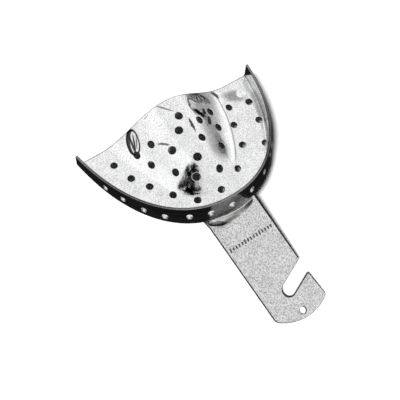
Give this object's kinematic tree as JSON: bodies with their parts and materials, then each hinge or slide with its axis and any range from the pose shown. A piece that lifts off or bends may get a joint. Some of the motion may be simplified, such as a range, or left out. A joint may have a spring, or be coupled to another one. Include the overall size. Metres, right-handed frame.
{
  "type": "dental impression tray",
  "caption": "Perforated steel upper impression tray: arch-shaped trough with a raised palate and a soldered, bent flat handle with hook slot and hanging hole.",
  "frame": {"origin": "centre of the hanging hole in the handle, at half the plate's thickness", "axes": "+Z the side the walls and the palate rise to, normal to the tray floor; +Y from the handle towards the open back edge; +X across the tray"},
  "size_m": [0.0738, 0.0867, 0.0317],
  "materials": {
    "polished_steel": "polished",
    "satin_steel": "satin",
    "solder": "smooth, as flowed"
  },
  "bodies": {
    "root": {"tray_shell": "polished_steel", "handle_plate": "satin_steel", "solder_bead": "solder"}
  },
  "joints": []
}
